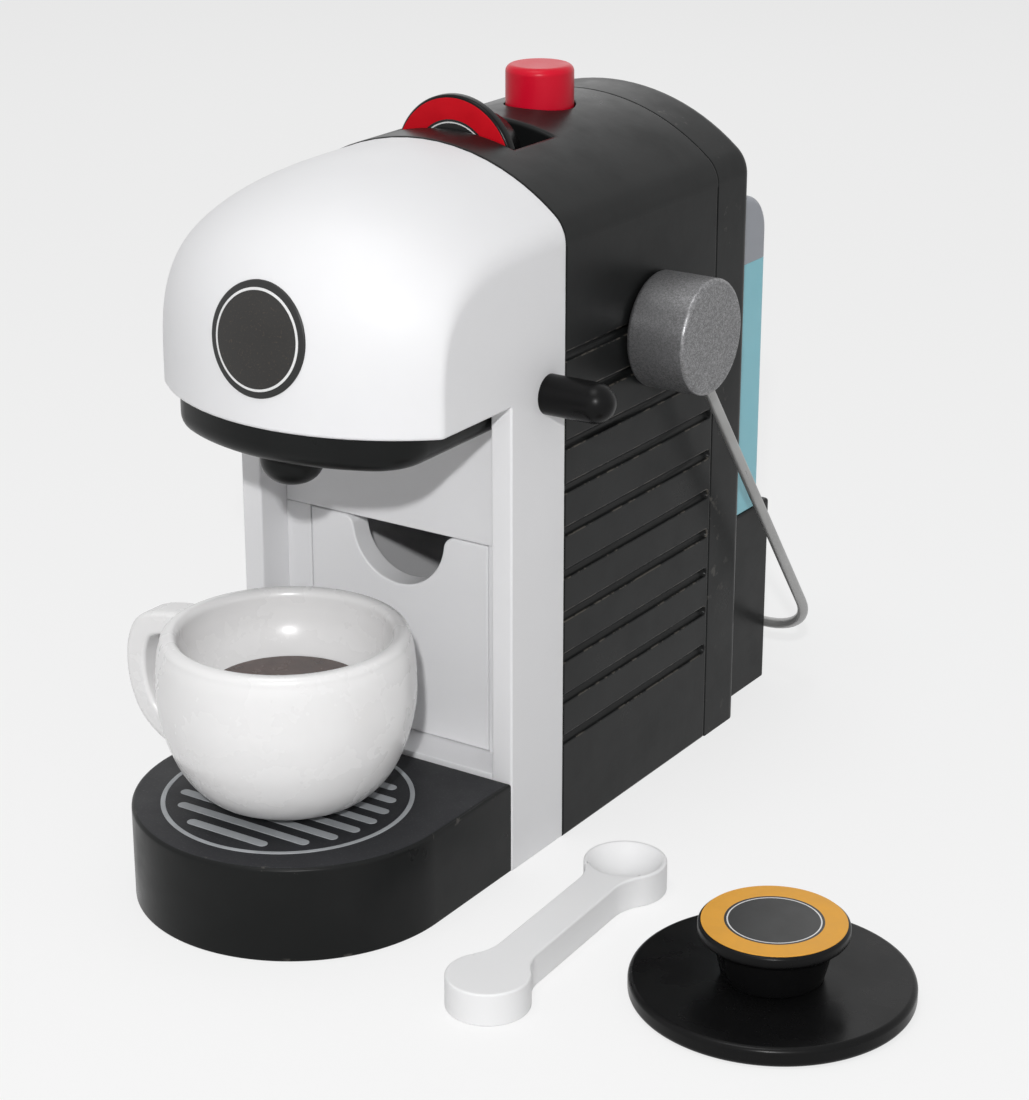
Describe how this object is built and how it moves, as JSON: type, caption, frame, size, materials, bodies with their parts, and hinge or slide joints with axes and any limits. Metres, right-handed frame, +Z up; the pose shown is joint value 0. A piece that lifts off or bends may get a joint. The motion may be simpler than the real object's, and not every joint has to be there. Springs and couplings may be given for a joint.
{
  "type": "toy coffee maker",
  "caption": "Wooden toy capsule coffee maker with a domed head, swinging lever, push button, capsule slot, capsule bin and water tank, with cup, saucer, spoon and capsules",
  "frame": {"origin": "Middle of the black casing's underside, on the table.", "axes": "+Z up, -Y towards the user (the side with the cup), +X to the machine's left-hand side seen from behind, that is to the right of someone facing its front. The outward normal of the underside is -Z."},
  "size_m": [0.2369, 0.2425, 0.2045],
  "materials": {
    "white_paint": "wood under a satin white lacquer",
    "black_paint": "wood under a satin black lacquer",
    "bare_wood": "sanded, unpainted wood inside the casing",
    "silver_paint": "wood under a flaky silver lacquer",
    "wire_steel": "drawn steel wire, dull",
    "spring_steel": "spring wire",
    "red_paint": "wood under a satin red lacquer",
    "blue_paint": "wood under a satin pale blue lacquer",
    "grey_paint": "wood under a satin grey lacquer",
    "badge_print": "thin black disc with a plain pale ring",
    "grille_print": "silver-grey print let into the lacquer",
    "red_label": "printed disc, plain rings",
    "orange_label": "printed disc, plain rings",
    "coffee_brown": "dark brown glued disc"
  },
  "bodies": {
    "machine": {"head": "white_paint", "head_badge": "badge_print", "front_frame": "white_paint", "front_panel": "white_paint", "panel_strip_right": "white_paint", "panel_strip_left": "white_paint", "bottom_rail": "white_paint", "brew_plate": "black_paint", "spout": "black_paint", "drip_tray": "black_paint", "drip_grille": "grille_print", "side_board_right": "black_paint", "side_board_left": "black_paint", "top_block": "black_paint", "rear_panel": "black_paint", "base_board": "bare_wood", "bin_runner_right": "bare_wood", "bin_runner_left": "bare_wood", "stop_peg_right": "black_paint", "stop_peg_left": "black_paint", "tank_base": "black_paint", "button_plug": "bare_wood", "button_spring": "spring_steel"},
    "lever": {"lever_axle": "bare_wood", "knob_right": "silver_paint", "knob_left": "silver_paint", "bail_wire": "wire_steel", "capsule_gate": "bare_wood"},
    "button": {"button_cap": "red_paint"},
    "bin": {"bin_front": "white_paint", "bin_side_right": "white_paint", "bin_side_left": "white_paint", "bin_back": "white_paint", "bin_floor": "white_paint"},
    "tank": {"water_tank": "blue_paint", "tank_lid": "grey_paint"},
    "cup": {"cup": "white_paint", "coffee_disc": "coffee_brown"},
    "red_capsule": {"capsule_red": "black_paint", "capsule_red_label": "red_label"},
    "saucer": {"saucer": "black_paint"},
    "orange_capsule": {"capsule_orange": "black_paint", "capsule_orange_label": "orange_label"},
    "spoon": {"spoon": "white_paint"}
  },
  "joints": [
    {"name": "lever_turn", "type": "hinge", "parent": "machine", "child": "lever", "pos_m": [0, 0.0058, 0.1377], "axis": [1, 0, 0], "range_deg": [0, 231]},
    {"name": "button_press", "type": "slide", "parent": "machine", "child": "button", "axis": [0, 0, -1], "range_m": [0, 0.003], "stiffness_N_per_m": 200, "springref_m": -0.003, "deforming": ["button_spring"]},
    {"name": "cup_slide", "type": "slide", "parent": "machine", "child": "cup", "axis": [0, -1, 0], "range_m": [0, 0.1]},
    {"name": "bin_slide", "type": "slide", "parent": "machine", "child": "bin", "axis": [0, -1, 0], "range_m": [0, 0.05]},
    {"name": "tank_lift", "type": "slide", "parent": "machine", "child": "tank", "axis": [0, 0, 1], "range_m": [0, 0.03]},
    {"name": "red_capsule_lift", "type": "slide", "parent": "machine", "child": "red_capsule", "axis": [0, 0, 1], "range_m": [0, 0.04]},
    {"name": "saucer_lift", "type": "slide", "parent": "machine", "child": "saucer", "axis": [0, 0, 1], "range_m": [0, 0.04]},
    {"name": "orange_capsule_lift", "type": "slide", "parent": "saucer", "child": "orange_capsule", "axis": [0, 0, 1], "range_m": [0, 0.03]},
    {"name": "spoon_lift", "type": "slide", "parent": "machine", "child": "spoon", "axis": [0, 0, 1], "range_m": [0, 0.04]}
  ],
  "couplings": [
    {"joint": "bin_slide", "follows": "cup_slide", "ratio": 0.5}
  ]
}
